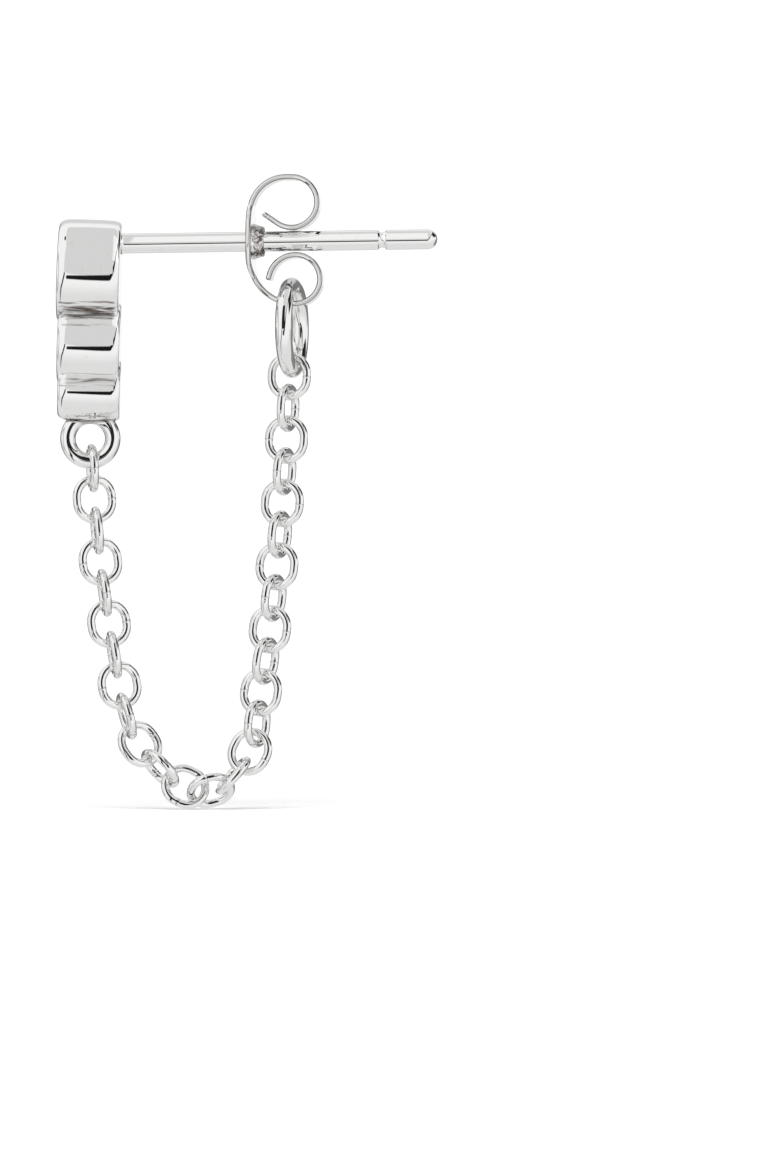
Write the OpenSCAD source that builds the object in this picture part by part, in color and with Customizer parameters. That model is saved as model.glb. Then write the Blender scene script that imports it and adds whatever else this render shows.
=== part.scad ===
// Chain drop earring. A straight ear post carries a setting of three graduated bezels in
// front, a butterfly clutch behind the ear lobe, and a fine cable chain hangs between the two.
// Millimetres. +X runs along the post, away from the face. +Z is up. The origin is
// the middle of the ear lobe, on the axis of the post.

/* [Setting] */
// Diameter of the top disc of the setting
top_disc_d = 3.98; // [3.94:0.01:4.02]
// Diameter of the middle disc
middle_disc_d = 3.26; // [3.22:0.01:3.3]
// Diameter of the small disc
small_disc_d = 2.4; // [2.37:0.01:2.43]
// Thickness of the discs, from the front rim to the flat back
disc_depth = 2.34; // [2.3:0.02:2.5]
// Distance from the axis of the post down to the centre of the top disc
top_disc_drop = 1.19; // [1.15:0.01:1.23]
// Distance between the centres of the top and middle discs
middle_disc_step = 2.68; // [2.66:0.01:2.7]
// Distance between the centres of the middle and small discs
small_disc_step = 1.71; // [1.69:0.01:1.73]
// Tilt of each disc, whose back leans down
disc_tilt = 2; // [0:0.5:3]
// How far from the front the side of a disc starts to roll over into the burnished rim
front_roll = 0.4; // [0.3:0.02:0.42]
// How far the front rim is rolled in
front_round = 0.2; // [0.16:0.01:0.22]
// How far from the back the side starts to roll over into the back edge
back_roll = 0.34; // [0.24:0.02:0.36]
// How far the back edge is rolled in
back_round = 0.13; // [0.08:0.01:0.14]
// Rise of the domed side between its two edges
side_dome = 0.03; // [0:0.01:0.03]

/* [Stones] */
// Diameter of the top stone
top_stone_d = 2.96; // [2.9:0.01:3]
// Diameter of the middle stone
middle_stone_d = 2.02; // [1.98:0.01:2.06]
// Diameter of the small stone
small_stone_d = 1.16; // [1.12:0.01:1.2]
// How far the top stone sits above the centre of its disc
top_stone_rise = 0.17; // [0.13:0.01:0.19]
// How far the middle stone sits above the centre of its disc
middle_stone_rise = -0.08; // [-0.12:0.01:-0.04]
// How far the small stone sits above the centre of its disc
small_stone_rise = -0.34; // [-0.36:0.01:-0.3]
// Depth of a stone's table below the front rim
table_depth = 0.05; // [0.03:0.01:0.08]
// Clearance between a stone and its seat
seat_gap = 0.03; // [0.02:0.005:0.04]

/* [Tail ring] */
// Outer diameter of the ring soldered under the small disc
tail_ring_d = 2.27; // [2.2:0.01:2.3]
// Wire of the tail ring
tail_wire_d = 0.59; // [0.55:0.01:0.6]
// How far the tail ring is let into the small disc
tail_ring_sink = 0.53; // [0.48:0.01:0.55]

/* [Post] */
// Diameter of the ear post
post_d = 0.76; // [0.7:0.01:0.78]
// Length of the post behind the setting
post_length = 11.88; // [11.5:0.02:12]
// Distance from the tip of the post to the middle of its notch
notch_from_tip = 2.07; // [1.9:0.01:2.2]
// Depth of the notch
notch_depth = 0.09; // [0.05:0.01:0.1]

/* [Ear lobe] */
// Room for the ear lobe, between the setting and the clutch
lobe_room = 4.79; // [4.6:0.01:5]

/* [Butterfly clutch] */
// Thickness of the bent strip
strip_thickness = 0.2; // [0.16:0.01:0.22]
// Width of the strip in the two loops
strip_width = 1.34; // [1.2:0.02:1.34]
// Diameter of the round plate that lies against the lobe
plate_d = 3; // [2.8:0.05:3.2]
// Radial clearance between the clutch's hole and the post
clutch_gap = 0.04; // [0.03:0.005:0.05]
// Length of the collar punched round the hole
collar_length = 0.41; // [0.3:0.01:0.45]

/* [Jump ring] */
// Outer diameter of the jump ring
jump_ring_d = 3.79; // [3.75:0.01:3.8]
// Wire of the jump ring
jump_wire_d = 0.64; // [0.6:0.01:0.64]
// Turn of the jump ring about the vertical
jump_ring_turn = -11; // [-14:1:-8]

/* [Chain] */
// Outer length of a link
link_length = 1.84; // [1.83:0.005:1.85]
// Outer width of a link
link_width = 1.67; // [1.66:0.005:1.68]
// Wire of the links
link_wire_d = 0.31; // [0.3:0.005:0.31]
// Play left between two links that hang on each other
link_play = 0.03; // [0.025:0.005:0.035]
// Play left between an end link and the ring that holds it
ring_play = 0.05; // [0.04:0.005:0.06]
// How far odd and even links turn away from the strand's twist
link_rock = 4; // [0:1:5]

/* [Hidden] */
$fn = 96;

LINK_COUNT = 27;
ROLL_STEPS = 30;
function link_name(i) = str("link_", i < 10 ? "0" : "", i);

// The lobe sits midway between the back of the setting and the clutch's plate
back_x = -lobe_room / 2;
plate_x = lobe_room / 2;

// Each bezel is [disc radius, height of the disc's centre, stone radius, rise of the stone]
top_bezel = [top_disc_d / 2, -top_disc_drop, top_stone_d / 2, top_stone_rise];
middle_bezel = [middle_disc_d / 2, top_bezel[1] - middle_disc_step, middle_stone_d / 2, middle_stone_rise];
small_bezel = [small_disc_d / 2, middle_bezel[1] - small_disc_step, small_stone_d / 2, small_stone_rise];
bezels = [top_bezel, middle_bezel, small_bezel];
function disc_radius(bezel) = bezel[0];
function disc_height(bezel) = bezel[1];
function girdle_radius(bezel) = bezel[2];
function stone_rise(bezel) = bezel[3];

// A round brilliant, as shares of its girdle radius
TABLE_R = 0.56;
STAR_R = 0.8;
CROWN_H = 0.3;
STAR_H = 0.19;
PAVILION_H = 0.86;
PAVILION_R = 0.2;
PAVILION_TIP_H = 0.16;
FACETS = 8;
GIRDLE_H = 0.03;
function girdle_depth(bezel) = table_depth + CROWN_H * girdle_radius(bezel);
// How far the rim leans in over a stone
rim_lip = 0.06;

tail_wire_r = tail_wire_d / 2;
tail_ring_r = tail_ring_d / 2 - tail_wire_r;
tail_ring_x = -3.53;
tail_ring_z = disc_height(small_bezel) - disc_radius(small_bezel) - tail_ring_d / 2 + tail_ring_sink;

post_r = post_d / 2;
// How far the post is let into the back of the setting
post_sink = 0.1;
solder_r = 0.13;
notch_r = 0.2;

// The strip of the clutch, from its plate outwards. Each row is
// [straight stretch, bend radius of the middle of the strip, degrees of the bend]
upper_strip = [[1.04, 1.37, 90], [0.198, 0.951, 214], [0.61, 0, 0]];
lower_strip = [[0.64, 1.7, 90], [0.017, 0.914, 180], [0, 1.02, 75], [0.2, 0, 0]];
collar_base_r = 0.7;
collar_end_r = 0.5;
countersink_depth = 0.1;

jump_wire_r = jump_wire_d / 2;
jump_ring_r = jump_ring_d / 2 - jump_wire_r;
// It hangs on the lowest stretch of the clutch's lower loop, where the edges of the
// flat strip hold its inside this far above the middle of the strip
ring_lift = 0.27;
// and this far towards the plate from the lowest point of the loop
ring_shift = 0.165;
jump_ring_x = plate_x + strip_thickness / 2 + lower_strip[0][1] - ring_shift;
jump_ring_z = -lower_strip[0][0] - lower_strip[0][1] + strip_thickness / 2 + ring_lift + jump_wire_r - jump_ring_r;

link_wire_r = link_wire_d / 2;
link_bend_r = (link_width - link_wire_d) / 2;
link_straight = link_length - link_width;
link_pitch = link_length - 2 * link_wire_d - link_play;
// From the centre of a link to the middle of its end wire
link_reach = link_length / 2 - link_wire_r;
// The first link rests in the tail ring and the last one in the jump ring, each drawn
// this far towards the other by the weight of the chain
start_shift = 0.08;
end_shift = 0.1;
chain_start = [
    tail_ring_x + start_shift,
    tail_ring_z - tail_ring_r + tail_wire_r + link_wire_r + ring_play - link_reach
];
chain_end = [
    jump_ring_x - end_shift,
    jump_ring_z - jump_ring_r + jump_wire_r + link_wire_r + ring_play - link_reach
];

// The hang of the chain. Each row is
// [link, slope of the link from +X, twist of the strand, slack beyond the play]
hang = [
    [1, -87, 13, 0.015],
    [5, -82, 13, 0.015],
    [8, -79.5, 13, 0.015],
    [9, -74.5, 17, 0.01],
    [10, -54.5, 24, 0],
    [11, -46, 28, 0],
    [12, -26, 16, 0.02],
    [13, 14.5, 50, 0.29],
    [14, 48, 78, 0],
    [15, 63, 112, 0.17],
    [16, 85.5, 115, 0],
    [17, 81, 116, 0],
    [21, 84.5, 112, 0],
    [27, 88, 108, 0]
];
slope_by_link = [for (row = hang) [row[0], row[1]]];
twist_by_link = [for (row = hang) [row[0], row[2]]];
slack_by_link = [for (row = hang) [row[0], row[3]]];
function slope(i) = lookup(i, slope_by_link);
function rock(i) = i % 2 == 0 ? link_rock : -link_rock;
function twist(i) = 90 * i + lookup(i, twist_by_link) + rock(i);
function half_step(i) = (link_pitch - lookup(i, slack_by_link)) / 2;
function along(i, distance) = distance * [cos(slope(i)), sin(slope(i))];

// Each link is carried by the one before it, and what the sum of the steps misses
// at the jump ring is shared out evenly
function hung_centre(i) = i == 1
    ? chain_start
    : hung_centre(i - 1) + along(i - 1, half_step(i - 1)) + along(i, half_step(i));
closing_error = chain_end - hung_centre(LINK_COUNT);
function link_centre(i) = hung_centre(i) + closing_error * (i - 1) / (LINK_COUNT - 1);

// Turns a shape drawn up the Z axis so that it points along the post
module along_post(x, z) {
    translate([x, 0, z]) rotate([0, 90, 0]) children();
}

// Turns a shape drawn up the Z axis, front rim at Z 0, so that it sits in the setting
module in_setting(bezel) {
    translate([back_x, 0, disc_height(bezel)]) rotate([0, 90 + disc_tilt, 0])
        translate([0, 0, -disc_depth]) children();
}

// How far one edge has rolled in, at a share of its roll from 0 to 1
function rolled(round, share) = round * (1 - sqrt(1 - pow(max(0, share), 2)));

// Half the section of a disc's side, a little domed and rolled over at both edges
function disc_side(r) = [
    for (k = [0:ROLL_STEPS]) let (
        along = -cos(180 * k / ROLL_STEPS),
        depth = disc_depth * (1 + along) / 2
    ) [
        r - side_dome * along * along - rolled(front_round, 1 - depth / front_roll)
            - rolled(back_round, 1 - (disc_depth - depth) / back_roll),
        depth
    ]
];

// A revolved disc with its front rim at the bottom and its flat back at the top
module rounded_disc(r) {
    rotate_extrude() polygon(concat([[0, 0]], disc_side(r), [[0, disc_depth]]));
}

// The hollow under a stone, a rim that leans over the crown and a cone for the pavilion
module stone_seat(bezel) {
    r = girdle_radius(bezel);
    depth = girdle_depth(bezel);
    wide = r + seat_gap;
    culet = depth + PAVILION_H * r + seat_gap;
    in_front = 1;
    translate([-stone_rise(bezel), 0, 0]) rotate_extrude() polygon([
        [0, -in_front],
        [r - rim_lip, -in_front],
        [r - rim_lip, 0],
        [wide, depth - seat_gap],
        [wide, depth + GIRDLE_H + seat_gap],
        [seat_gap, culet],
        [0, culet]
    ]);
}

module front_setting() {
    color("silver") {
        difference() {
            union() {
                for (bezel = bezels) in_setting(bezel) rounded_disc(disc_radius(bezel));
                translate([tail_ring_x, 0, tail_ring_z]) rotate([90, 0, 0])
                    rotate_extrude() translate([tail_ring_r, 0]) circle(tail_wire_r);
            }
            for (bezel = bezels) in_setting(bezel) stone_seat(bezel);
        }
        along_post(back_x - post_sink, 0) ear_post();
    }
}

// The post starts inside the back of the top disc and has a bead of solder round its root
module ear_post() {
    length = post_length + post_sink;
    rotate_extrude() difference() {
        union() {
            square([post_r, length - post_r]);
            intersection() {
                translate([0, length - post_r]) circle(post_r);
                square([post_r, length]);
            }
            square([post_r + solder_r, post_sink + solder_r]);
        }
        translate([post_r + solder_r, post_sink + solder_r]) circle(solder_r);
        translate([post_r + notch_r - notch_depth, length - notch_from_tip]) circle(notch_r);
    }
}

// Points evenly round a level circle, starting half a step round when offset is 1
function ring_points(r, z, count, offset) = [
    for (k = [0:count - 1]) [r * cos((k + offset / 2) * 360 / count), r * sin((k + offset / 2) * 360 / count), z]
];

// A cut stone with its table down and its culet up, as it sits in its bezel
module brilliant(bezel) {
    r = girdle_radius(bezel);
    depth = girdle_depth(bezel);
    points = concat(
        ring_points(TABLE_R * r, depth - CROWN_H * r, FACETS, 0),
        ring_points(STAR_R * r, depth - STAR_H * r, FACETS, 1),
        ring_points(r, depth, 2 * FACETS, 0),
        ring_points(r, depth + GIRDLE_H, 2 * FACETS, 0),
        ring_points(PAVILION_R * r, depth + (PAVILION_H - PAVILION_TIP_H) * r, FACETS, 1),
        [[0, 0, depth + PAVILION_H * r]]
    );
    color("lightcyan") in_setting(bezel) translate([-stone_rise(bezel), 0, 0])
        hull() polyhedron(points, [[for (k = [0:len(points) - 1]) k]]);
}

// Where the strip is after some of its rows, as [x, y, heading]
function strip_after(rows, count) = count == 0
    ? [0, 0, 90]
    : strip_bent(strip_after(rows, count - 1), rows[count - 1]);
function strip_bent(place, row) = [
    place[0] + row[0] * cos(place[2]) + row[1] * (sin(place[2]) - sin(place[2] - row[2])),
    place[1] + row[0] * sin(place[2]) - row[1] * (cos(place[2]) - cos(place[2] - row[2])),
    place[2] - row[2]
];

// One row of the strip, a straight stretch and then a bend to the right
module strip_row(rows, index, width) {
    place = strip_after(rows, index);
    row = rows[index];
    straight = row[0];
    bend_r = row[1];
    sweep = row[2];
    rotate([90, 0, 0]) translate([place[0], place[1], 0]) rotate([0, 0, place[2] - 90]) {
        if (straight > 0)
            translate([-strip_thickness / 2, 0, -width / 2]) cube([strip_thickness, straight, width]);
        if (sweep > 0)
            translate([bend_r, straight, 0]) rotate([0, 0, 180 - sweep])
                rotate_extrude(angle = sweep) translate([bend_r - strip_thickness / 2, -width / 2])
                    square([strip_thickness, width]);
    }
}

// The plate seen from the lobe, a disc with the two arms of the strip, drawn long and
// deep enough to hold both first bends
module plate_outline() {
    long = 8;
    deep = 5;
    cylinder(r = plate_d / 2, h = deep, center = true);
    cube([long, strip_width, deep], center = true);
}

module butterfly_clutch() {
    hole_r = post_r + clutch_gap;
    past_plate = 1;
    color("silver") difference() {
        union() {
            translate([plate_x + strip_thickness / 2, 0, 0]) {
                intersection() {
                    union() {
                        strip_row(upper_strip, 0, plate_d);
                        mirror([0, 0, 1]) strip_row(lower_strip, 0, plate_d);
                    }
                    rotate([0, 90, 0]) plate_outline();
                }
                for (k = [1:len(upper_strip) - 1]) strip_row(upper_strip, k, strip_width);
                for (k = [1:len(lower_strip) - 1]) mirror([0, 0, 1]) strip_row(lower_strip, k, strip_width);
            }
            along_post(plate_x + strip_thickness / 2, 0)
                cylinder(r1 = collar_base_r, r2 = collar_end_r, h = collar_length + strip_thickness / 2);
        }
        along_post(plate_x - past_plate, 0) cylinder(r = hole_r, h = 3 * past_plate);
        along_post(plate_x, 0) cylinder(r1 = hole_r + countersink_depth, r2 = hole_r, h = countersink_depth);
    }
}

module jump_ring() {
    color("silver") translate([jump_ring_x, 0, jump_ring_z]) rotate([0, 0, jump_ring_turn])
        rotate([0, 90, 0]) rotate_extrude() translate([jump_ring_r, 0]) circle(jump_wire_r);
}

// A flattened oval of round wire, long side along X
module oval_link() {
    for (side = [0, 180]) rotate([0, 0, side]) {
        translate([link_straight / 2, 0, 0]) rotate([0, 0, -90])
            rotate_extrude(angle = 180) translate([link_bend_r, 0]) circle(link_wire_r);
        translate([-link_straight / 2, link_bend_r, 0]) rotate([0, 90, 0])
            cylinder(r = link_wire_r, h = link_straight);
    }
}

module chain_link(i) {
    centre = link_centre(i);
    color("silver") translate([centre[0], 0, centre[1]]) rotate([0, -slope(i), 0])
        rotate([90 - twist(i), 0, 0]) oval_link();
}

front_setting();
brilliant(top_bezel);  // top_stone
brilliant(middle_bezel);  // middle_stone
brilliant(small_bezel);  // small_stone
butterfly_clutch();
jump_ring();
for (i = [1:LINK_COUNT]) chain_link(i);
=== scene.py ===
from math import asin, atan2, cos, degrees, pi, radians, sin, sqrt, tan

import bmesh
import bpy
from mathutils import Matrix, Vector


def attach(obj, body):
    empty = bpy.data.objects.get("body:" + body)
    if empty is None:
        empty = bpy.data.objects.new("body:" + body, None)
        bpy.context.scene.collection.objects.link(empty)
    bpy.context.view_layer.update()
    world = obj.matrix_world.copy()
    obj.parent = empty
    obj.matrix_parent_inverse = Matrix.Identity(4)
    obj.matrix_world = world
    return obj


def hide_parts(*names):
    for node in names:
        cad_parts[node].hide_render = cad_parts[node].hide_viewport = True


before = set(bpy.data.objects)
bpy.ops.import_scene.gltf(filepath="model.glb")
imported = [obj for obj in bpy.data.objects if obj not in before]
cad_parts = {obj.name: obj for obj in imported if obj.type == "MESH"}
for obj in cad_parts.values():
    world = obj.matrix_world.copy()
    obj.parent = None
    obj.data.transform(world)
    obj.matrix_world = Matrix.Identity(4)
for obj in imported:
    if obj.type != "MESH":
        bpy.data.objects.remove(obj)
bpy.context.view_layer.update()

# The front setting. Three overlapping discs of cast sterling silver, thick enough to
# hold the stones, with a burnished front rim. A wire ring is let into the bottom disc
# and a round post is soldered to the back of the top one. Sizes are in millimetres.
lobe_room = 4.79
back_x = -lobe_room / 2
disc_depth = 2.34
disc_tilt = radians(2)
front_roll = 0.4
front_round = 0.2
back_roll = 0.34
back_round = 0.13
side_dome = 0.03
disc_radius = {"top": 1.99, "middle": 1.63, "small": 1.2}
disc_height = {"top": -1.19, "middle": -3.87, "small": -5.58}
stone_radius = {"top": 1.48, "middle": 1.01, "small": 0.58}
stone_rise = {"top": 0.17, "middle": -0.08, "small": -0.34}
table_depth = 0.05
seat_gap = 0.03
rim_lip = 0.06
girdle_height = 0.03
crown_height = 0.3
pavilion_height = 0.86
turned_sides = 160
side_steps = 72


def settle():
    """Leaves edit mode and deselects everything."""
    if bpy.context.object is not None and bpy.context.object.mode != "OBJECT":
        bpy.ops.object.mode_set(mode="OBJECT")
    bpy.ops.object.select_all(action="DESELECT")


def pick(piece, *others):
    """Selects these pieces alone, and makes the first one active."""
    settle()
    for each in (piece, *others):
        each.select_set(True)
    bpy.context.view_layer.objects.active = piece


def edit(piece):
    """Enters edit mode with nothing selected."""
    pick(piece)
    bpy.ops.object.mode_set(mode="EDIT")
    bpy.ops.mesh.select_all(action="DESELECT")


def choose(piece, kind, test):
    """In edit mode, selects the vertices, edges or faces that pass the test, and no others."""
    bpy.ops.mesh.select_all(action="DESELECT")
    bpy.ops.mesh.select_mode(type=kind)
    mesh = bmesh.from_edit_mesh(piece.data)
    for part in {"VERT": mesh.verts, "EDGE": mesh.edges, "FACE": mesh.faces}[kind]:
        part.select_set(bool(test(part)))
    mesh.select_flush_mode()
    bmesh.update_edit_mesh(piece.data)


def clean(piece, nearest=0.0005):
    """Closes what spins and mirrors leave open, and turns every face outwards."""
    edit(piece)
    bpy.ops.mesh.select_all(action="SELECT")
    bpy.ops.mesh.remove_doubles(threshold=nearest)
    bpy.ops.mesh.normals_make_consistent(inside=False)
    settle()


def modify(piece, kind, **settings):
    """Adds a modifier with these settings and applies it."""
    pick(piece)
    bpy.ops.object.modifier_add(type=kind)
    added = piece.modifiers[-1]
    for name, value in settings.items():
        setattr(added, name, value)
    bpy.ops.object.modifier_apply(modifier=added.name)


def combine(piece, other, operation):
    """Unites two solids, or cuts the second out of the first, and removes the second."""
    modify(piece, "BOOLEAN", object=other, operation=operation, solver="EXACT")
    bpy.data.objects.remove(other)


def place(piece, location=(0, 0, 0), rotation=(0, 0, 0), scale=1):
    """Moves a piece and puts its place in its mesh."""
    pick(piece)
    piece.location = location
    piece.rotation_euler = rotation
    piece.scale = (scale,) * 3
    bpy.ops.object.transform_apply(location=True, rotation=True, scale=True)


def to_metres(piece, smooth_angle):
    """Brings a finished piece from millimetres to metres, and smooths its flatter edges."""
    place(piece, scale=0.001)
    bpy.ops.object.shade_smooth_by_angle(angle=radians(smooth_angle))


def swing(steps, angle, centre, axis):
    """Spins what is selected, anticlockwise round the axis. The operator itself turns clockwise."""
    bpy.ops.mesh.spin(steps=steps, angle=-angle, center=centre, axis=axis)


def turn(name, outline, sides=turned_sides):
    """Draws an outline of (distance along X, radius) points and spins it round the X axis."""
    settle()
    bpy.ops.mesh.primitive_plane_add(size=0.1, location=(outline[0][0], 0, outline[0][1]))
    piece = bpy.context.object
    piece.name = name
    place(piece, piece.location)
    bpy.ops.object.mode_set(mode="EDIT")
    bpy.ops.mesh.select_mode(type="VERT")
    bpy.ops.mesh.select_all(action="SELECT")
    bpy.ops.mesh.merge(type="CENTER")
    for (x, r), (next_x, next_r) in zip(outline, outline[1:]):
        bpy.ops.mesh.extrude_vertices_move(TRANSFORM_OT_translate={"value": (next_x - x, 0, next_r - r)})
    bpy.ops.mesh.select_all(action="SELECT")
    swing(sides, 2 * pi, (0, 0, 0), (1, 0, 0))
    clean(piece)
    return piece


def arc(x, r, radius, start, end, steps):
    """Points of a rounded corner, for an outline. Degrees, 0 along +X and 90 outwards."""
    angles = [radians(start + (end - start) * k / steps) for k in range(steps + 1)]
    return [(x + radius * cos(a), r + radius * sin(a)) for a in angles]


def in_setting(piece, key, rise=0):
    """Tilts a shape whose back is at X 0 and puts it in its disc's place."""
    up = Vector((sin(disc_tilt), 0, cos(disc_tilt))) * rise
    place(piece, Vector((back_x, 0, disc_height[key])) + up, (0, disc_tilt, 0))


def disc_outline(radius):
    """Half the section of a disc, from the middle of its front to the middle of its back.
    The side is a little domed and rolls over softly into both edges."""
    middle = -disc_depth / 2
    side = []
    for k in range(side_steps + 1):
        along = -cos(pi * k / side_steps)
        x = middle + along * disc_depth / 2
        from_front = max(0, 1 - (x + disc_depth) / front_roll)
        from_back = max(0, 1 + x / back_roll)
        drop = front_round * (1 - sqrt(max(0, 1 - from_front**2)))
        drop += back_round * (1 - sqrt(max(0, 1 - from_back**2)))
        side.append((x, radius - side_dome * along**2 - drop))
    return [(-disc_depth, 0)] + side + [(0, 0)]


def seat_outline(radius):
    """Half the section of the room for a stone, under a rim that laps over its edge."""
    front = -disc_depth
    girdle = front + table_depth + crown_height * radius
    wide = radius + seat_gap
    culet = girdle + pavilion_height * radius + seat_gap
    return [
        (front - 1, 0),
        (front - 1, radius - rim_lip),
        (front, radius - rim_lip),
        (girdle - seat_gap, wide),
        (girdle + girdle_height + seat_gap, wide),
        (culet, seat_gap),
        (culet, 0),
    ]


setting = None
for key, radius in disc_radius.items():
    disc = turn("disc_" + key, disc_outline(radius))
    in_setting(disc, key)
    if setting is None:
        setting = disc
    else:
        combine(setting, disc, "UNION")

tail_ring_r = 0.84
tail_wire_r = 0.295
tail_ring_sink = 0.53
tail_ring_x = -3.53
tail_ring_z = disc_height["small"] - disc_radius["small"] + tail_ring_sink - tail_wire_r - tail_ring_r
settle()
bpy.ops.mesh.primitive_torus_add(
    major_segments=144, minor_segments=56, major_radius=tail_ring_r, minor_radius=tail_wire_r
)
tail_ring = bpy.context.object
tail_ring.name = "tail_ring"
place(tail_ring, (tail_ring_x, 0, tail_ring_z), (pi / 2, 0, 0))
to_metres(tail_ring, 60)

for key, radius in stone_radius.items():
    cutter = turn("seat_" + key, seat_outline(radius))
    in_setting(cutter, key, stone_rise[key])
    combine(setting, cutter, "DIFFERENCE")

post_r = 0.38
post_length = 11.88
post_sink = 0.1
solder_r = 0.13
notch_from_tip = 2.07
notch_r = 0.2
notch_depth = 0.09
notch_shoulder = 0.3
# Places along the post where its mesh has a ring
post_rings = (-1.5, 0, 1.5, 3, 4.5, 6)
post_pivot = 2.7
post_lean = radians(0.8)
tip_x = back_x + post_length
rounded_x = tip_x - post_r
notch_x = tip_x - notch_from_tip
notch_half = degrees(asin(sqrt(notch_r**2 - (notch_r - notch_depth) ** 2) / notch_r))
post = turn(
    "post",
    [(back_x - post_sink, 0), (back_x - post_sink, post_r + solder_r)]
    + arc(back_x + solder_r, post_r + solder_r, solder_r, 180, 270, 8)
    + [(x, post_r) for x in (*post_rings, notch_x - notch_shoulder)]
    + arc(notch_x, post_r + notch_r - notch_depth, notch_r, 270 - notch_half, 270 + notch_half, 8)
    + [(x, post_r) for x in (notch_x + notch_shoulder, rounded_x - 0.6, rounded_x - 0.05)]
    + arc(rounded_x, 0, post_r, 90, 0, 16),
    sides=96,
)
# It was soldered on with a slight lean, which lifts its tip
place(post, (-post_pivot, 0, 0))
place(post, (post_pivot, 0, 0), (0, -post_lean, 0))
combine(setting, post, "UNION")
setting.name = "setting"
clean(setting, 0.001)
to_metres(setting, 25)


def feed(tree, value, socket):
    """Links a node's output to an input socket, or sets the socket to a plain value."""
    if hasattr(value, "is_linked"):
        tree.links.new(value, socket)
    else:
        socket.default_value = value


def node(tree, kind, *inputs, **settings):
    """Adds a shader node, with (input name, value or output socket) pairs and its settings."""
    made = tree.nodes.new(kind)
    for name, value in settings.items():
        setattr(made, name, value)
    for name, value in inputs:
        feed(tree, value, made.inputs[name])
    return made


def maths(tree, operation, *values):
    """Adds a Math node to these values and gives its result."""
    made = node(tree, "ShaderNodeMath", operation=operation)
    for socket, value in zip(made.inputs, values):
        feed(tree, value, socket)
    return made.outputs["Value"]


def object_place(tree):
    """Where a point of the surface lies, in the piece's own metres."""
    return tree.nodes.new("ShaderNodeTexCoord").outputs["Object"]


def build_polish():
    """Fine polishing lines, a soft waviness and a few handling marks on bright silver."""
    group = bpy.data.node_groups.new("silver_polish", "ShaderNodeTree")
    for name, value in (("Wave depth", 0.3), ("Line depth", 0.05), ("Marks", 0.3), ("Roughness", 0.06)):
        socket = group.interface.new_socket(name, in_out="INPUT", socket_type="NodeSocketFloat")
        socket.default_value = value
    group.interface.new_socket("Roughness", in_out="OUTPUT", socket_type="NodeSocketFloat")
    group.interface.new_socket("Normal", in_out="OUTPUT", socket_type="NodeSocketVector")
    group.interface.new_socket("Tarnish", in_out="OUTPUT", socket_type="NodeSocketFloat")
    given = group.nodes.new("NodeGroupInput").outputs
    place_on = object_place(group)
    wave = node(group, "ShaderNodeTexNoise", ("Vector", place_on), ("Scale", 900), ("Detail", 2.0))
    drawn = node(group, "ShaderNodeMapping", ("Vector", place_on), ("Scale", (1.0, 1.0, 6.0)))
    lines = node(
        group, "ShaderNodeTexNoise", ("Vector", drawn.outputs["Vector"]), ("Scale", 16000), ("Detail", 3.0)
    )
    spots = node(group, "ShaderNodeTexNoise", ("Vector", place_on), ("Scale", 4200), ("Detail", 4.0))
    marks = node(
        group, "ShaderNodeMapRange", ("Value", spots.outputs["Fac"]), ("From Min", 0.6), ("From Max", 0.75)
    )
    soft = node(
        group, "ShaderNodeBump", ("Strength", given["Wave depth"]), ("Distance", 0.00002),
        ("Height", wave.outputs["Fac"]),
    )
    fine = node(
        group, "ShaderNodeBump", ("Strength", given["Line depth"]), ("Distance", 0.000002),
        ("Height", lines.outputs["Fac"]), ("Normal", soft.outputs["Normal"]),
    )
    worn = maths(group, "MULTIPLY", marks.outputs["Result"], given["Marks"])
    put = group.nodes.new("NodeGroupOutput").inputs
    group.links.new(maths(group, "MULTIPLY_ADD", worn, 0.2, given["Roughness"]), put["Roughness"])
    group.links.new(fine.outputs["Normal"], put["Normal"])
    group.links.new(worn, put["Tarnish"])
    return group


polish = build_polish()


def near(tree, value, middle, inner, outer):
    """1 within the inner distance of the middle, 0 beyond the outer one and smooth between."""
    off = maths(tree, "ABSOLUTE", maths(tree, "SUBTRACT", value, middle))
    made = node(
        tree, "ShaderNodeMapRange", ("Value", off), ("From Min", inner), ("From Max", outer),
        ("To Min", 1.0), ("To Max", 0.0), interpolation_type="SMOOTHSTEP",
    )
    return made.outputs["Result"]


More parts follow.
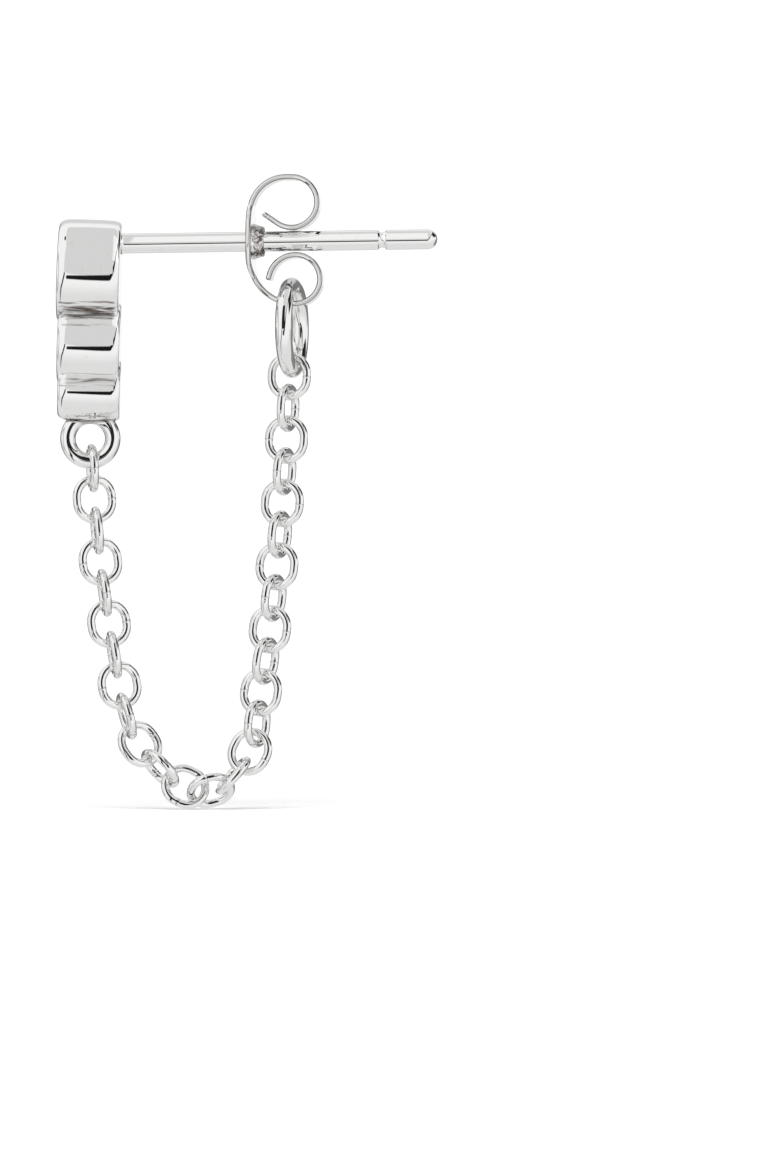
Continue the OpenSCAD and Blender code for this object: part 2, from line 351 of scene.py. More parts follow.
def build_rough_solder_and_shade():
    """Rough soldered joints and casting skin the buff missed, and painted shade, in fine brown lines."""
    group = bpy.data.node_groups.new("rough_solder_and_shade", "ShaderNodeTree")
    for name in ("Place", "Line", "Drawn out"):
        group.interface.new_socket(name, in_out="INPUT", socket_type="NodeSocketFloat")
    group.interface.new_socket("Normal", in_out="INPUT", socket_type="NodeSocketVector")
    group.interface.new_socket("Dark", in_out="OUTPUT", socket_type="NodeSocketFloat")
    group.interface.new_socket("Rough", in_out="OUTPUT", socket_type="NodeSocketFloat")
    group.interface.new_socket("Normal", in_out="OUTPUT", socket_type="NodeSocketVector")
    given = group.nodes.new("NodeGroupInput").outputs
    place_on = object_place(group)
    stretch = node(group, "ShaderNodeCombineXYZ", ("X", given["Drawn out"]), ("Y", 1.0), ("Z", 1.0))
    drawn = node(
        group, "ShaderNodeVectorMath", (0, place_on), (1, stretch.outputs["Vector"]), operation="MULTIPLY"
    )
    lines = node(
        group, "ShaderNodeTexNoise", ("Vector", drawn.outputs["Vector"]), ("Scale", 7000), ("Detail", 3.0),
        ("Distortion", 0.8),
    )
    streaks = node(
        group, "ShaderNodeMapRange", ("Value", lines.outputs["Fac"]), ("From Min", 0.42), ("From Max", 0.6)
    )
    dark = maths(group, "MULTIPLY", streaks.outputs["Result"], given["Place"])
    dark = maths(group, "MAXIMUM", dark, given["Line"])
    ridges = node(
        group, "ShaderNodeBump", ("Strength", given["Place"]), ("Distance", 0.00004),
        ("Height", lines.outputs["Fac"]), ("Normal", given["Normal"]),
    )
    put = group.nodes.new("NodeGroupOutput").inputs
    group.links.new(dark, put["Dark"])
    group.links.new(maths(group, "MULTIPLY", given["Place"], 0.2), put["Rough"])
    group.links.new(ridges.outputs["Normal"], put["Normal"])
    return group


rough_solder_and_shade = build_rough_solder_and_shade()
silver_white = (0.9, 0.9, 0.895, 1)
silver_tarnish = (0.72, 0.702, 0.6623, 1)
# The brown of rough soldered joints, also used for painted shade in grooves and on the clutch's edges
solder_and_shade_brown = (0.2, 0.165, 0.15, 1)


def mixed(tree, share, colour, other):
    """A colour mixed with another one by this share."""
    made = node(tree, "ShaderNodeMix", data_type="RGBA")
    for name, value in (("Factor", share), ("A", colour), ("B", other)):
        feed(tree, value, made.inputs[name])
    return made.outputs["Result"]


def silver(name, wave, line, marks, roughness, rough_and_shade_place, drawn_out=1.0):
    """Rhodium plated silver with its polish. A given function gives the places where it was left
    rough and where shade is painted, and where a fine dark line runs."""
    material = bpy.data.materials.new(name)
    material.use_nodes = True
    tree = material.node_tree
    shader = tree.nodes["Principled BSDF"]
    finish = node(tree, "ShaderNodeGroup", node_tree=polish)
    finish.inputs["Wave depth"].default_value = wave
    finish.inputs["Line depth"].default_value = line
    finish.inputs["Marks"].default_value = marks
    finish.inputs["Roughness"].default_value = roughness
    place_on, line_on = rough_and_shade_place(tree)
    solder_and_shade = node(tree, "ShaderNodeGroup", node_tree=rough_solder_and_shade)
    feed(tree, place_on, solder_and_shade.inputs["Place"])
    feed(tree, line_on, solder_and_shade.inputs["Line"])
    solder_and_shade.inputs["Drawn out"].default_value = drawn_out
    tree.links.new(finish.outputs["Normal"], solder_and_shade.inputs["Normal"])
    colour = mixed(tree, finish.outputs["Tarnish"], silver_white, silver_tarnish)
    # Rough places and painted shade are mixed in brown
    colour = mixed(tree, solder_and_shade.outputs["Dark"], colour, solder_and_shade_brown)
    rough = maths(tree, "ADD", finish.outputs["Roughness"], solder_and_shade.outputs["Rough"])
    tree.links.new(colour, shader.inputs["Base Color"])
    tree.links.new(rough, shader.inputs["Roughness"])
    tree.links.new(solder_and_shade.outputs["Normal"], shader.inputs["Normal"])
    shader.inputs["Metallic"].default_value = 1
    return material


# Rough bands on the discs' sides, where the silver is darkened: rough soldered joints and casting skin,
# with painted shade in the grooves and round the tail ring. Each is its height, half its width,
# how far it fades out beyond that and its strength. The first fills the upper groove, with a dark
# line above it and a painted reflection line below it, three lie in the lower groove, and the last
# runs round the tail ring's solder
rough_and_shade_bands = (
    (-2.7, 0.18, 0.11, 1), (-2.335, 0.012, 0.05, 0.8), (-3.17, 0.01, 0.05, 0.6), (-5.215, 0.03, 0.05, 0.9),
    (-5.29, 0.1, 0.05, 0.4), (-5.42, 0.02, 0.05, 0.6), (-6.74, 0.05, 0.05, 0.8),
)
# They keep to the middle of the side, front to back
band_side_x = -3.62
band_side_half = 1
band_side_fade = 0.12
band_waver = 0.08


def groove_rough_and_shade(tree):
    """Darkened grooves: rough soldered joints the buff missed, and painted shade. No fine line runs there."""
    place_on = object_place(tree)
    x, _, z = node(tree, "ShaderNodeSeparateXYZ", ("Vector", place_on)).outputs
    stretched = node(tree, "ShaderNodeMapping", ("Vector", place_on), ("Scale", (1.0, 0.5, 0.3)))
    waver = node(
        tree, "ShaderNodeTexNoise", ("Vector", stretched.outputs["Vector"]), ("Scale", 1500), ("Detail", 1.0)
    )
    waver_on = band_waver / 1000
    up_or_down = maths(tree, "MULTIPLY_ADD", waver.outputs["Fac"], 2 * waver_on, -waver_on)
    z = maths(tree, "ADD", z, up_or_down)
    found = 0
    # Each band is partly rough soldered silver and partly painted shade, or a painted reflection line
    for height, half, fade, strength in rough_and_shade_bands:
        band = near(tree, z, height / 1000, half / 1000, (half + fade) / 1000)
        found = maths(tree, "MAXIMUM", found, maths(tree, "MULTIPLY", band, strength))
    side_end = band_side_half + band_side_fade
    on_side = near(tree, x, band_side_x / 1000, band_side_half / 1000, side_end / 1000)
    return maths(tree, "MULTIPLY", found, on_side), 0


setting_silver = silver(
    "setting_bright_silver", wave=0.18, line=0.03, marks=0.3, roughness=0.045, rough_and_shade_place=groove_rough_and_shade,
    drawn_out=0.1,
)
for piece in (setting, tail_ring):
    piece.data.materials.clear()
    piece.data.materials.append(setting_silver)
    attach(piece, "root")
    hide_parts("front_setting")

# The stones. Clear round brilliants with 57 facets, cut from a round blank: the table,
# eight bezel, eight star and sixteen upper facets above the girdle, and below it
# sixteen lower facets and eight mains that meet at the culet.


def cut_facets(piece, side, depth, tilt, count, turn_by=0):
    """Saws flat facets round a stone, in front for side -1 and behind for 1. A facet leans
    by tilt from the girdle's plane and meets the stone's axis at this depth from it."""
    edit(piece)
    for k in range(count):
        about = 2 * pi * (k + turn_by) / count
        face = Vector((side * cos(tilt), sin(tilt) * cos(about), sin(tilt) * sin(about)))
        bpy.ops.mesh.select_all(action="SELECT")
        bpy.ops.mesh.bisect(
            plane_co=(side * depth, 0, 0), plane_no=face, use_fill=True, clear_outer=True, threshold=1e-6
        )
    settle()


main_tilt = radians(34)
star_tilt = radians(21)
upper_tilt = radians(39.5)
lower_tilt = radians(42.2)
# How far from the axis these facets meet the table or the girdle, as shares of its radius
star_share = 0.93
upper_share = 0.995
lower_share = 0.99


def brilliant(name, radius):
    """A brilliant with its girdle at X 0, its table towards -X and its culet at +X."""
    settle()
    bpy.ops.mesh.primitive_cylinder_add(vertices=128, radius=radius, depth=2 * radius)
    stone = bpy.context.object
    stone.name = name
    place(stone, (0, 0, 0), (0, pi / 2, 0))
    table = crown_height * radius
    table_r = radius - table / tan(main_tilt)
    culet = pavilion_height * radius
    cut_facets(stone, -1, table, 0, 1)
    cut_facets(stone, -1, tan(main_tilt) * radius, main_tilt, 8)
    cut_facets(stone, -1, table + tan(star_tilt) * table_r * star_share, star_tilt, 8, 0.5)
    cut_facets(stone, -1, tan(upper_tilt) * radius * upper_share, upper_tilt, 16, 0.5)
    cut_facets(stone, 1, culet, atan2(culet - girdle_height, radius), 8)
    cut_facets(stone, 1, tan(lower_tilt) * radius * lower_share + girdle_height, lower_tilt, 16, 0.5)
    return stone


def clear_stone():
    """Clear glassy stone, with a trace of haze and wear on its polish."""
    material = bpy.data.materials.new("clear_brilliant")
    material.use_nodes = True
    tree = material.node_tree
    shader = tree.nodes["Principled BSDF"]
    haze = node(tree, "ShaderNodeTexNoise", ("Vector", object_place(tree)), ("Scale", 5000), ("Detail", 3.0))
    wear = node(
        tree, "ShaderNodeMapRange", ("Value", haze.outputs["Fac"]), ("From Min", 0.55), ("From Max", 0.8),
        ("To Min", 0.0), ("To Max", 0.03),
    )
    tint = mixed(tree, haze.outputs["Fac"], (1, 1, 1, 1), (0.97, 0.985, 1, 1))
    tree.links.new(tint, shader.inputs["Base Color"])
    tree.links.new(wear.outputs["Result"], shader.inputs["Roughness"])
    shader.inputs["IOR"].default_value = 2.16
    shader.inputs["Transmission Weight"].default_value = 1
    return material


brilliant_glass = clear_stone()
for key, radius in stone_radius.items():
    stone = brilliant("brilliant_" + key, radius)
    place(stone, (-disc_depth + table_depth + crown_height * radius, 0, 0))
    in_setting(stone, key, stone_rise[key])
    to_metres(stone, 1)
    stone.data.materials.append(brilliant_glass)
    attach(stone, "root")
    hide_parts(key + "_stone")

# The butterfly clutch. One strip of hard silver, stamped with a round plate in its
# middle, whose two arms are curled over until they spring against the post. A collar
# is punched outwards round the hole.
plate_x = lobe_room / 2
strip_thickness = 0.2
strip_width = 1.34
strip_x = plate_x + strip_thickness / 2
plate_r = 1.5
# Each row is straight stretch, bend radius of the middle of the strip, degrees of the bend
upper_strip = ((1.04, 1.37, 90), (0.198, 0.951, 214), (0.61, 0, 0))
lower_strip = ((0.64, 1.7, 90), (0.017, 0.914, 180), (0, 1.02, 75), (0.2, 0, 0))
# The curl starts past here, where the plate has ended
plate_reach = 0.75
cuts_across = 9
cut_spacing = 0.08
edge_roll = 0.09
collar_base_r = 0.7
collar_end_r = 0.5
collar_length = 0.41
collar_round = 0.06
hole_r = 0.42
countersink = 0.1
flare_from = 0.58
flare_to = 1
flare = 0.3
# The dark edge line lies between these distances from the strip's edge. It is partly the dull
# sheared line and partly painted shade where the face rolls over into the edge
edge_line_from = 0.006
edge_line_to = 0.07
shear_and_shade_dark = 0.65
clutch_askew = radians(4)
askew_pivot = 2.7


def curl(rows, side):
    """Extrudes and spins the selected edge of the strip along its arm, up for side 1."""
    heading = pi / 2
    x, z = strip_x, 0.0
    for straight, bend_r, sweep in rows:
        steps = 0 if straight == 0 else max(1, round(straight / cut_spacing))
        for k in range(steps):
            step = straight / steps
            bpy.ops.mesh.extrude_region_move(
                TRANSFORM_OT_translate={"value": (step * cos(heading), 0, side * step * sin(heading))}
            )
        x += straight * cos(heading)
        z += straight * sin(heading)
        if sweep:
            centre = (x + bend_r * sin(heading), 0, side * (z - bend_r * cos(heading)))
            swing(max(4, round(sweep / 3)), radians(sweep), centre, (0, side, 0))
            new_heading = heading - radians(sweep)
            x += bend_r * (sin(heading) - sin(new_heading))
            z -= bend_r * (cos(heading) - cos(new_heading))
            heading = new_heading


def strip_half_width(at):
    """Half the strip's width, at a point on it."""
    on_plate = at.x < plate_x + plate_reach and abs(at.z) < plate_r
    return max(sqrt(plate_r**2 - at.z**2) if on_plate else 0, strip_width / 2)


def across_middle(edge):
    """Whether an edge of the strip lies across the middle of the plate."""
    return all(abs(v.co.z) < 1e-5 and abs(v.co.x - strip_x) < 1e-4 for v in edge.verts)


# A line across the middle of the plate is left of a plane, and grows into the two arms
settle()
bpy.ops.mesh.primitive_plane_add(size=1, location=(0, 0, 0))
clutch = bpy.context.object
clutch.name = "clutch"
edit(clutch)
bpy.ops.mesh.select_all(action="SELECT")
bpy.ops.mesh.delete(type="ONLY_FACE")
choose(clutch, "VERT", lambda v: v.co.x > 0)
bpy.ops.mesh.delete(type="VERT")
choose(clutch, "VERT", lambda v: True)
bpy.ops.transform.translate(value=(strip_x + 0.5, 0, 0))
bpy.ops.transform.resize(value=(1, 2 * plate_r, 1), center_override=(0, 0, 0))
bpy.ops.mesh.subdivide(number_cuts=cuts_across)
choose(clutch, "EDGE", lambda e: True)
curl(upper_strip, 1)
choose(clutch, "EDGE", across_middle)
curl(lower_strip, -1)
settle()
# Each row across the strip is drawn in to the outline of the plate and its arms
edit(clutch)
mesh = bmesh.from_edit_mesh(clutch.data)
for vertex in mesh.verts:
    vertex.co.y *= strip_half_width(vertex.co) / plate_r
bmesh.update_edit_mesh(clutch.data)
bpy.ops.mesh.select_all(action="SELECT")
bpy.ops.mesh.normals_make_consistent(inside=False)
settle()
modify(clutch, "SOLIDIFY", thickness=strip_thickness, offset=0)
clean(clutch)
modify(
    clutch, "BEVEL", width=edge_roll, segments=6, limit_method="ANGLE", angle_limit=radians(50),
    use_clamp_overlap=False,
)

collar_tip_x = plate_x + strip_thickness + collar_length
collar = turn(
    "collar",
    [(strip_x, 0), (strip_x, collar_base_r)]
    + arc(collar_tip_x - collar_round, collar_end_r, collar_round, 80, 10, 5)
    + [(collar_tip_x, 0)],
    sides=96,
)
combine(clutch, collar, "UNION")
# The hole is countersunk in front and flares at the collar's tip
bore = turn(
    "bore",
    [
        (plate_x - 0.5, 0),
        (plate_x - 0.5, hole_r + countersink),
        (plate_x, hole_r + countersink),
        (plate_x + countersink, hole_r),
        (plate_x + flare_from, hole_r),
        (plate_x + flare_to, hole_r + flare),
        (plate_x + flare_to, 0),
    ],
    sides=96,
)
combine(clutch, bore, "DIFFERENCE")
# Its edges get a dark line, partly the dull line where they were sheared and partly painted shade
shear_and_edge_shade = clutch.data.attributes.new("shear_and_edge_shade", "FLOAT", "POINT")
for vertex, value in zip(clutch.data.vertices, shear_and_edge_shade.data):
    from_edge = strip_half_width(vertex.co) - abs(vertex.co.y)
    value.value = shear_and_shade_dark if edge_line_from < from_edge < edge_line_to else 0
# It sits a little askew on the post
place(clutch, (-askew_pivot, 0, 0))
place(clutch, (askew_pivot, 0, 0), (0, 0, -clutch_askew))
to_metres(clutch, 30)


def diagonal(tree, first, second):
    """How long the diagonal of a box with these sides is."""
    squares = maths(tree, "ADD", maths(tree, "POWER", first, 2), maths(tree, "POWER", second, 2))
    return maths(tree, "SQRT", squares)


# The torn silver of the collar: where it is, half its length, its fade, and its reach
# from the middle of the hole
torn_x = 2.84
torn_half = 0.22
torn_fade = 0.08
torn_r = 0.6
torn_r_fade = 0.15
torn_strength = 1.15


def round_collar(tree):
    """The punched collar's torn edge round the post, and the edge line: partly shear, partly painted shade.
    """
    x, y, z = node(tree, "ShaderNodeSeparateXYZ", ("Vector", object_place(tree))).outputs
    from_post = diagonal(tree, y, z)
    along = near(tree, x, torn_x / 1000, torn_half / 1000, (torn_half + torn_fade) / 1000)
    round_hole = near(tree, from_post, 0, torn_r / 1000, (torn_r + torn_r_fade) / 1000)
    torn = maths(tree, "MULTIPLY", maths(tree, "MULTIPLY", along, torn_strength), round_hole)
    return torn, node(tree, "ShaderNodeAttribute", attribute_name="shear_and_edge_shade").outputs["Fac"]


clutch.data.materials.clear()
clutch.data.materials.append(silver(
    "clutch_spring_silver", wave=0.06, line=0.03, marks=0.3, roughness=0.05, rough_and_shade_place=round_collar
))
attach(clutch, "root")
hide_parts("butterfly_clutch")

# The jump ring. Heavy round silver wire closed round the clutch's lower loop and
# soldered shut, with a faint seam where its ends meet.
jump_ring_r = 1.575
jump_wire_r = 0.32
jump_ring_x = 4.03
jump_ring_z = -3.225
jump_ring_turn = radians(-11)
jump_seam_dark = 0.4
jump_seam_half = 0.06
jump_seam_slant = 0.5
settle()
bpy.ops.mesh.primitive_circle_add(vertices=64, radius=jump_wire_r)
jump_ring = bpy.context.object
jump_ring.name = "hoop_ring"
place(jump_ring, (0, jump_ring_r, 0))
edit(jump_ring)
bpy.ops.mesh.select_all(action="SELECT")
swing(200, 2 * pi, (0, 0, 0), (1, 0, 0))
settle()
clean(jump_ring)


def mark_seam(piece, nearness):
    """Keeps on each vertex how near it is to the soldered seam, from 0 to 1."""
    seam = piece.data.attributes.new("seam", "FLOAT", "POINT")
    for vertex, value in zip(piece.data.vertices, seam.data):
        value.value = nearness(vertex.co)


def on_seam(tree):
    """No rough place, and a fine dark line along the seam."""
    return 0, node(tree, "ShaderNodeAttribute", attribute_name="seam").outputs["Fac"]


def by_jump_seam(at):
    """The ring was cut at a slant, at its lowest place."""
    off = abs(at.y + jump_seam_slant * at.z)
    return jump_seam_dark * max(0, 1 - off / jump_seam_half) if at.z < 0 else 0


mark_seam(jump_ring, by_jump_seam)
place(jump_ring, (jump_ring_x, 0, jump_ring_z), (0, 0, jump_ring_turn))
to_metres(jump_ring, 60)
jump_ring.data.materials.append(silver(
    "ring_bright_silver", wave=0.12, line=0.03, marks=0.3, roughness=0.045, rough_and_shade_place=on_seam
))
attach(jump_ring, "root")
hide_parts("jump_ring")

# The chain. Twenty-seven nearly round links of fine silver wire, each bent shut and
# soldered at the middle of one side. The first hangs in the setting's tail ring and
# the last in the jump ring, so the chain hangs between the two in a narrow loop.
link_wire_r = 0.155
link_bend_r = 0.68
link_straight = 0.17
# The straight side is cut finely in its middle, where the seam is
stretch_shares = (0.29, 0.12, 0.09, 0.09, 0.12, 0.29)
seam_bulge = 0.007
seam_dark = 0.35
seam_half = 0.037
link_pitch = 1.19
link_rock = 4
link_count = 27
chain_start = Vector((-3.45, -8.49))
chain_end = Vector((3.93, -5.04))
# Each row is link, slope of the link from +X, twist of the strand, slack beyond the play
hang = (
    (1, -87, 13, 0.015), (5, -82, 13, 0.015), (8, -79.5, 13, 0.015), (9, -74.5, 17, 0.01),
    (10, -54.5, 24, 0), (11, -46, 28, 0), (12, -26, 16, 0.02), (13, 14.5, 50, 0.29),
    (14, 48, 78, 0), (15, 63, 112, 0.17), (16, 85.5, 115, 0), (17, 81, 116, 0),
    (21, 84.5, 112, 0), (27, 88, 108, 0),
)


def hang_at(i, column):
    """Reads one column of the table at a link, between its rows where need be."""
    for row, after in zip(hang, hang[1:]):
        if row[0] <= i <= after[0]:
            return row[column] + (after[column] - row[column]) * (i - row[0]) / (after[0] - row[0])


def half_step(i):
    """From the middle of a link to where it meets the next one."""
    slope = radians(hang_at(i, 1))
    return Vector((cos(slope), sin(slope))) * (link_pitch - hang_at(i, 3)) / 2


hung = [chain_start]
for i in range(2, link_count + 1):
    hung.append(hung[-1] + half_step(i - 1) + half_step(i))
closing_error = chain_end - hung[-1]
centres = [spot + closing_error * k / (link_count - 1) for k, spot in enumerate(hung)]

settle()
bpy.ops.mesh.primitive_circle_add(vertices=32, radius=link_wire_r, rotation=(0, pi / 2, 0))
link = bpy.context.object
link.name = "chain_link"
place(link, (link_straight / 2, -link_bend_r, 0), link.rotation_euler)
edit(link)
bpy.ops.mesh.select_all(action="SELECT")
for side in (1, -1):
    swing(36, pi, (side * link_straight / 2, 0, 0), (0, 0, 1))
    for share in stretch_shares:
        bpy.ops.mesh.extrude_region_move(
            TRANSFORM_OT_translate={"value": (-side * share * link_straight, 0, 0)}
        )
settle()
clean(link)
# The solder stands a little proud where the wire's ends meet
edit(link)
choose(link, "VERT", lambda v: v.co.y < 0 and abs(v.co.x) < 0.02)
bpy.ops.transform.shrink_fatten(value=seam_bulge)
settle()
mark_seam(link, lambda at: seam_dark * max(0, 1 - abs(at.x) / seam_half) if at.y < 0 else 0)
link.data.materials.append(silver(
    "chain_bright_silver", wave=0.06, line=0.02, marks=0.25, roughness=0.045, rough_and_shade_place=on_seam
))
for i in range(1, link_count + 1):
    pick(link)
    bpy.ops.object.duplicate()
    piece = bpy.context.object
    piece.name = "oval_link_%02d" % i
    x, z = centres[i - 1]
    rock = link_rock if i % 2 == 0 else -link_rock
    twist = 90 * i + hang_at(i, 2) + rock
    place(piece, (x, 0, z), (radians(90 - twist), radians(-hang_at(i, 1)), 0))
    to_metres(piece, 60)
    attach(piece, "root")
    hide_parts("link_%02d" % i)
bpy.data.objects.remove(link)

# The stage. A pale matt table just under the lowest links, in a tent of white light.
# Grey and black cloths hang in the tent, and the silver shows them as its grey panels
# and dark lines. The camera sees plain white past the table. Sizes are in metres.
table_z = -0.02129
table_grey = 0.62
settle()
bpy.ops.mesh.primitive_grid_add(x_subdivisions=4, y_subdivisions=4, size=4, location=(0, 0, table_z))
table = bpy.context.object
table.name = "pale_table"
# The silver shows the lower part of the tent in its place
table.visible_glossy = False
paint = bpy.data.materials.new("pale_table_paint")
paint.use_nodes = True
coat = paint.node_tree.nodes["Principled BSDF"]
coat.inputs["Base Color"].default_value = (table_grey, table_grey, table_grey, 1)
coat.inputs["Roughness"].default_value = 0.9
coat.inputs["Specular IOR Level"].default_value = 0
coat.inputs["Emission Color"].default_value = (1, 1, 1, 1)
coat.inputs["Emission Strength"].default_value = 0.13
table.data.materials.append(paint)


def light_only(lamp, pieces):
    """Lets these pieces alone catch the lamp's light."""
    caught_by = bpy.data.collections.new(lamp.name + "_catchers")
    for piece in pieces:
        caught_by.objects.link(piece)
    lamp.light_linking.receiver_collection = caught_by


def soft_light(name, location, rotation, size, glow, pieces):
    """A flat soft light that only these pieces catch."""
    settle()
    bpy.ops.object.light_add(type="AREA", location=location, rotation=rotation)
    lamp = bpy.context.object
    lamp.name = name
    lamp.data.shape = "RECTANGLE"
    lamp.data.size, lamp.data.size_y = size
    lamp.data.energy = glow * size[0] * size[1] * pi
    lamp.visible_camera = False
    light_only(lamp, pieces)


# The camera stands in a dark gap in the tent. Wire shows the gap as a fine dark line. A
# large soft light far behind it fills the gap for the discs and the clutch. The gap's
# edges are given at 1 m from the earring
gap_left = -0.4
gap_right = 0.32
gap_low = -0.07
gap_high = 1.19
far = 20
soft_light(
    "gap_light",
    location=((gap_left + gap_right) / 2 * far, -far, (gap_low + gap_high) / 2 * far),
    rotation=(pi / 2, 0, 0),
    size=((gap_right - gap_left) * far, (gap_high - gap_low) * far),
    glow=0.7,
    pieces=(setting, clutch),
)
# A small soft light along the post gives it its bright top
soft_light(
    "post_light",
    location=(0.00385, -0.0031, 0.0026),
    rotation=(radians(50), 0, 0),
    size=(0.0115, 0.0052),
    glow=0.26,
    pieces=(setting,),
)
# Wide light from above the camera lays a soft shadow on the table, under the lowest links
settle()
bpy.ops.object.light_add(type="SUN", rotation=(radians(42), 0, radians(-6)))
overhead = bpy.context.object
overhead.name = "table_light"
overhead.data.energy = 3.6
overhead.data.angle = radians(44)
light_only(overhead, (table,))

world = bpy.data.worlds.new("light_tent")
bpy.context.scene.world = world
world.use_nodes = True
sky = world.node_tree
sky.nodes.clear()


def step_up(value, low, high):
    """0 below low, 1 above high and smooth between."""
    return node(
        sky, "ShaderNodeMapRange", ("Value", value), ("From Min", low), ("From Max", high),
        interpolation_type="SMOOTHSTEP",
    ).outputs["Result"]


def step_down(value, low, high):
    """1 below low, 0 above high and smooth between."""
    return maths(sky, "SUBTRACT", 1, step_up(value, low, high))


def off_by(value, middle):
    """How far a value is from the middle, either way."""
    return maths(sky, "ABSOLUTE", maths(sky, "SUBTRACT", value, middle))


def all_of(first, *others):
    """1 where all the masks are 1."""
    for other in others:
        first = maths(sky, "MULTIPLY", first, other)
    return first


def follow(value, *stops):
    """The height of a line bent through the stops, at this value."""
    low, high = stops[0][0], stops[-1][0]
    bottom = min(y for x, y in stops)
    top = max(y for x, y in stops)
    along = node(sky, "ShaderNodeMapRange", ("Value", value), ("From Min", low), ("From Max", high))
    made = node(sky, "ShaderNodeFloatCurve", ("Value", along.outputs["Result"]))
    line = made.mapping.curves[0]
    spots = [((x - low) / (high - low), (y - bottom) / (top - bottom)) for x, y in stops]
    line.points[0].location = spots[0]
    line.points[1].location = spots[-1]
    for x, y in spots[1:-1]:
        line.points.new(x, y)
    for point in line.points:
        point.handle_type = "VECTOR"
    made.mapping.update()
    return maths(sky, "MULTIPLY_ADD", made.outputs["Value"], top - bottom, bottom)


def hang_cloth(light, where, shade):
    """Puts a cloth of this shade in front of the light, where the mask is 1."""
    return maths(sky, "MULTIPLY_ADD", where, maths(sky, "SUBTRACT", shade, light), light)


# Directions in the tent. Side is -1 at the far left and 1 at the far right. Rise is 0
# towards the camera, 90 straight up and -90 straight down. Round and height are the
# compass angle from the camera to the right, and the angle above the table's level.
way = sky.nodes.new("ShaderNodeTexCoord").outputs["Generated"]
side_way, back_way, up_way = node(sky, "ShaderNodeSeparateXYZ", ("Vector", way)).outputs
front_way = maths(sky, "MULTIPLY", back_way, -1)
rise = maths(sky, "DEGREES", maths(sky, "ARCTAN2", up_way, front_way))
round_way = maths(sky, "DEGREES", maths(sky, "ARCTAN2", side_way, front_way))
height = maths(sky, "DEGREES", maths(sky, "ARCSINE", up_way))

# The tent itself is white
light = 0.98
# A grey cloth hangs over the camera. Its corners are rounded by about 26 degrees of rise,
# and a step of 1 to the side counts as 118 of them
side_degrees = 118
straight_side = 15.3
straight_rise = 36
panel_off = maths(sky, "MULTIPLY_ADD", off_by(side_way, 0.15), side_degrees, -straight_side)
panel_side = maths(sky, "MAXIMUM", panel_off, 0)
panel_rise = maths(sky, "MAXIMUM", maths(sky, "SUBTRACT", off_by(rise, 51.5), straight_rise), 0)
light = hang_cloth(light, step_down(diagonal(sky, panel_side, panel_rise), 24.5, 27.5), 0.72)
# The table and the lower tent give less light than the top
below = all_of(step_down(rise, -60, -20), step_down(rise, -0.1, 0))
light = hang_cloth(light, below, 0.8)
# The tent is open round its back, most at the sides, and a little at the far left
open_back = all_of(step_up(back_way, 0.58, 0.75), step_down(back_way, 0.93, 0.97))
light = hang_cloth(light, open_back, 0.7)
at_sides = all_of(
    step_up(back_way, 0.45, 0.6), step_down(back_way, 0.93, 0.97),
    step_up(maths(sky, "ABSOLUTE", side_way), 0.2, 0.4), step_down(maths(sky, "ABSOLUTE", up_way), 0.3, 0.55),
)
light = hang_cloth(light, at_sides, 0.2)
light = hang_cloth(light, step_down(off_by(side_way, -0.935), 0.01, 0.045), 0.5)
# A black strip starts under the camera and climbs over to the right
strip_path = follow(
    side_way, (-0.2, -14.3), (-0.08, -14), (0, -13.6), (0.1, -11.5), (0.2, -5.5), (0.3, 1.5), (0.42, 12),
    (0.5, 24), (0.58, 44), (0.66, 70), (0.75, 85),
)
strip_half = follow(
    side_way, (-0.2, 2.8), (-0.1, 4.2), (0, 5.8), (0.1, 6.5), (0.2, 8), (0.3, 9), (0.42, 9), (0.5, 10),
    (0.66, 12),
)
strip_off = maths(sky, "SUBTRACT", off_by(rise, strip_path), strip_half)
strip = all_of(
    step_down(strip_off, -1, 1.5), step_up(side_way, -0.18, -0.165), step_down(side_way, 0.6, 0.72)
)
light = hang_cloth(light, strip, 0.01)
# A thin black strip drops away under the camera to the left
drop_path = follow(
    rise, (-90, -0.6), (-60, -0.64), (-42, -0.62), (-26, -0.5), (-12, -0.38), (0, -0.3), (8, -0.27)
)
drop_half = follow(rise, (-90, 0), (-70, 0.03), (-40, 0.05), (-20, 0.06), (0, 0.055), (8, 0))
drop_off = maths(sky, "SUBTRACT", off_by(side_way, drop_path), drop_half)
drop = all_of(step_down(drop_off, -0.01, 0.015), step_up(drop_half, 0, 0.01))
light = hang_cloth(light, drop, 0.02)
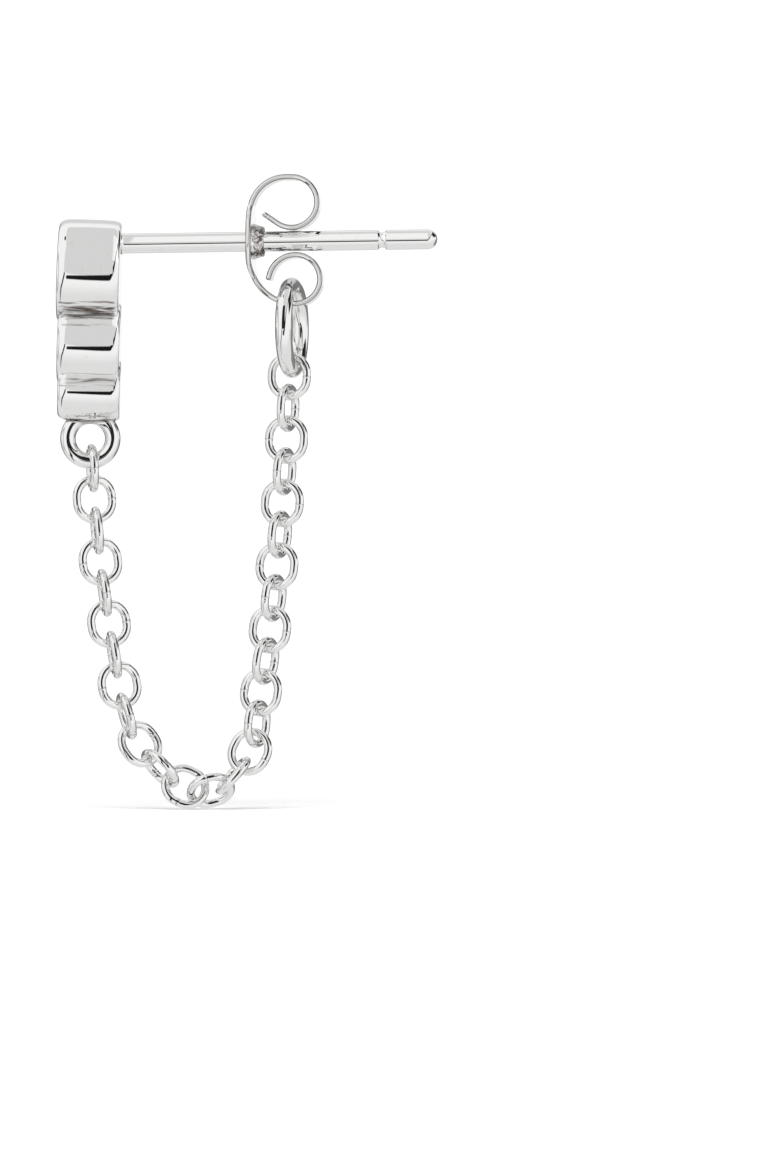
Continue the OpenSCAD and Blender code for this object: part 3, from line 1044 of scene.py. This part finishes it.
# A lamp's hood hangs high at the left, and two black boards stand at the right
hood_side = maths(sky, "DIVIDE", off_by(side_way, -0.29), 0.07)
hood_rise = maths(sky, "DIVIDE", off_by(rise, 79), 7)
light = hang_cloth(light, step_down(diagonal(sky, hood_side, hood_rise), 0.7, 1.1), 0.02)
widening = maths(sky, "COSINE", maths(sky, "RADIANS", height))
for round_at, height_at, half_round, half_height, soft, shade in (
    (102, 34, 22, 14, 6, 0.02),
    (122, -18, 11, 13, 8, 0.25),
):
    sideways = maths(sky, "MULTIPLY", off_by(round_way, round_at), widening)
    board = all_of(
        step_down(sideways, half_round, half_round + soft),
        step_down(off_by(height, height_at), half_height, half_height + soft),
    )
    light = hang_cloth(light, board, shade)
# The dark gap round the camera is as wide and high as the light that fills it
gap_side = maths(sky, "DIVIDE", side_way, front_way)
gap_rise = maths(sky, "DIVIDE", up_way, front_way)
gap = all_of(
    maths(sky, "GREATER_THAN", gap_side, gap_left), maths(sky, "LESS_THAN", gap_side, gap_right),
    maths(sky, "GREATER_THAN", gap_rise, gap_low), maths(sky, "LESS_THAN", gap_rise, gap_high),
    maths(sky, "GREATER_THAN", front_way, 0),
)
light = hang_cloth(light, gap, 0.02)
tent = node(sky, "ShaderNodeBackground", ("Color", (1, 1, 1, 1)), ("Strength", light))
plain = node(sky, "ShaderNodeBackground", ("Color", (1, 1, 1, 1)), ("Strength", 1.1))
seen = sky.nodes.new("ShaderNodeLightPath").outputs["Is Camera Ray"]
both = sky.nodes.new("ShaderNodeMixShader")
sky.links.new(seen, both.inputs["Fac"])
sky.links.new(tent.outputs["Background"], both.inputs[1])
sky.links.new(plain.outputs["Background"], both.inputs[2])
out = sky.nodes.new("ShaderNodeOutputWorld")
sky.links.new(both.outputs["Shader"], out.inputs["Surface"])

# The camera stands level with the middle of the picture and looks square across it. The
# picture is 1170 pixels high, and a pixel is 0.0375 mm wide at the earring.
camera_distance = 0.3
frame_height = 1170 * 0.0375 / 1000
frame_x = 0.007706
frame_z = -0.012874
sensor = 36
bpy.ops.object.camera_add(location=(frame_x, -camera_distance, frame_z), rotation=(pi / 2, 0, 0))
camera = bpy.context.object
camera.data.sensor_width = sensor
camera.data.lens = sensor * camera_distance / frame_height
camera.data.clip_start = 0.001
camera.data.clip_end = 20
bpy.context.scene.camera = camera
bpy.context.scene.view_settings.view_transform = "Standard"
